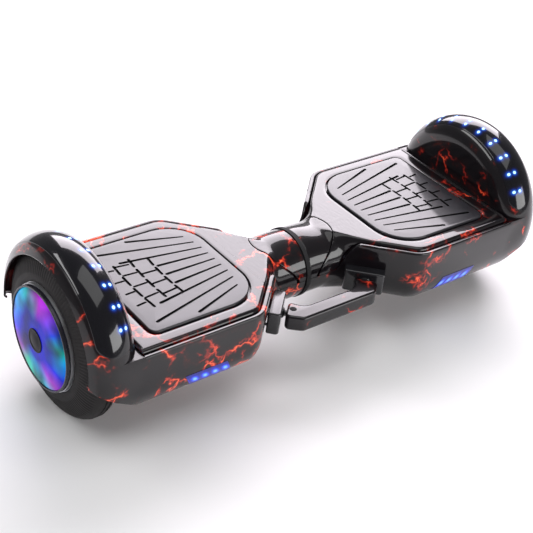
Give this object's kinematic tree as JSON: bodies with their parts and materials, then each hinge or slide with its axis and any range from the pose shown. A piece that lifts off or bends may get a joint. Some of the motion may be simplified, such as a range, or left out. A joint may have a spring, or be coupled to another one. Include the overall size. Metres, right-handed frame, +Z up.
{
  "type": "self balancing hoverboard",
  "caption": "Two-wheel self-balancing board with two twisting deck halves, hub motor wheels under lit fenders, foot pads and a carrying handle.",
  "frame": {"origin": "on the ground, under the middle of the waist", "axes": "+X to the rider's right along the axles, +Y to the back, +Z up; the headlights face -Y"},
  "size_m": [0.584, 0.1898, 0.1778],
  "materials": {
    "shell_gloss": "high-gloss black with an orange-red crack print",
    "pad_rubber": "satin rubber mat with moulded grooves",
    "clear_blue": "clear tinted lens",
    "led_board": "lamps on a thin board",
    "aluminium": "cast aluminium",
    "steel": "turned steel",
    "dark_steel": "black oxide",
    "tyre_rubber": "matt rubber with fine ribs",
    "copper": "laminated core with windings",
    "bronze": "sintered bronze",
    "magnet": "nickel plated",
    "black_plastic": "fine texture",
    "circuit": "green circuit board",
    "battery_wrap": "blue shrink wrap",
    "black_rubber": "soft rubber"
  },
  "bodies": {
    "left_half": {"left_chassis": "aluminium", "left_upper_shell": "shell_gloss", "left_lower_shell": "shell_gloss", "left_waist_cover": "shell_gloss", "left_sensor_board": "circuit", "left_fender_lens": "clear_blue", "left_fender_leds": "led_board", "left_headlight_lens": "clear_blue", "left_headlight_leds": "led_board", "left_axle": "steel", "left_axle_clamp": "aluminium", "left_clamp_bolts": "dark_steel", "left_screws": "steel", "left_stator": "copper", "left_handle_bracket": "black_plastic", "pivot_tube": "steel", "pivot_circlip": "dark_steel", "limit_pin": "steel", "waist_ring": "black_rubber", "wiring_loom": "black_rubber", "control_board": "circuit", "charge_socket": "steel"},
    "right_half": {"right_chassis": "aluminium", "right_upper_shell": "shell_gloss", "right_lower_shell": "shell_gloss", "right_waist_cover": "shell_gloss", "right_sensor_board": "circuit", "right_fender_lens": "clear_blue", "right_fender_leds": "led_board", "right_headlight_lens": "clear_blue", "right_headlight_leds": "led_board", "right_axle": "steel", "right_axle_clamp": "aluminium", "right_clamp_bolts": "dark_steel", "right_screws": "steel", "right_stator": "copper", "right_handle_bracket": "black_plastic", "pivot_bushes": "bronze", "battery_pack": "battery_wrap"},
    "left_wheel": {"left_tyre": "tyre_rubber", "left_rim": "aluminium", "left_magnets": "magnet", "left_hub_lens": "clear_blue", "left_hub_leds": "led_board", "left_motor_cover": "aluminium", "left_bearings": "steel"},
    "right_wheel": {"right_tyre": "tyre_rubber", "right_rim": "aluminium", "right_magnets": "magnet", "right_hub_lens": "clear_blue", "right_hub_leds": "led_board", "right_motor_cover": "aluminium", "right_bearings": "steel"},
    "left_pad": {"left_foot_pad": "pad_rubber"},
    "right_pad": {"right_foot_pad": "pad_rubber"},
    "handle": {"carry_handle": "shell_gloss", "handle_bush": "black_rubber"},
    "power_button": {"power_button": "black_plastic"},
    "charge_cap": {"charge_cap": "black_rubber"}
  },
  "joints": [
    {"name": "waist_twist", "type": "hinge", "parent": "left_half", "child": "right_half", "pos_m": [0, 0, 0.075], "axis": [1, 0, 0], "range_deg": [-10, 10]},
    {"name": "left_wheel_spin", "type": "hinge", "parent": "left_half", "child": "left_wheel", "pos_m": [-0.262, 0, 0.084], "axis": [1, 0, 0], "continuous": true},
    {"name": "right_wheel_spin", "type": "hinge", "parent": "right_half", "child": "right_wheel", "pos_m": [0.262, 0, 0.084], "axis": [1, 0, 0], "continuous": true},
    {"name": "left_pad_press", "type": "slide", "parent": "left_half", "child": "left_pad", "axis": [0, 0, -1], "range_m": [0, 0.0015], "stiffness_N_per_m": 8000},
    {"name": "right_pad_press", "type": "slide", "parent": "right_half", "child": "right_pad", "axis": [0, 0, -1], "range_m": [0, 0.0015], "stiffness_N_per_m": 8000},
    {"name": "handle_tilt", "type": "hinge", "parent": "left_half", "child": "handle", "pos_m": [-0.04681, -0.06985, 0.071], "axis": [0, 1, 0], "range_deg": [-7.6, 7.6]},
    {"name": "button_press", "type": "slide", "parent": "left_half", "child": "power_button", "axis": [0, -1, 0], "range_m": [0, 0.0012], "stiffness_N_per_m": 1500},
    {"name": "cap_open", "type": "hinge", "parent": "left_half", "child": "charge_cap", "pos_m": [-0.154, 0.0944, 0.094], "axis": [1, 0, 0], "range_deg": [0, 110]}
  ],
  "couplings": [
    {"joint": "handle_tilt", "follows": "waist_twist", "ratio": 0.74}
  ]
}
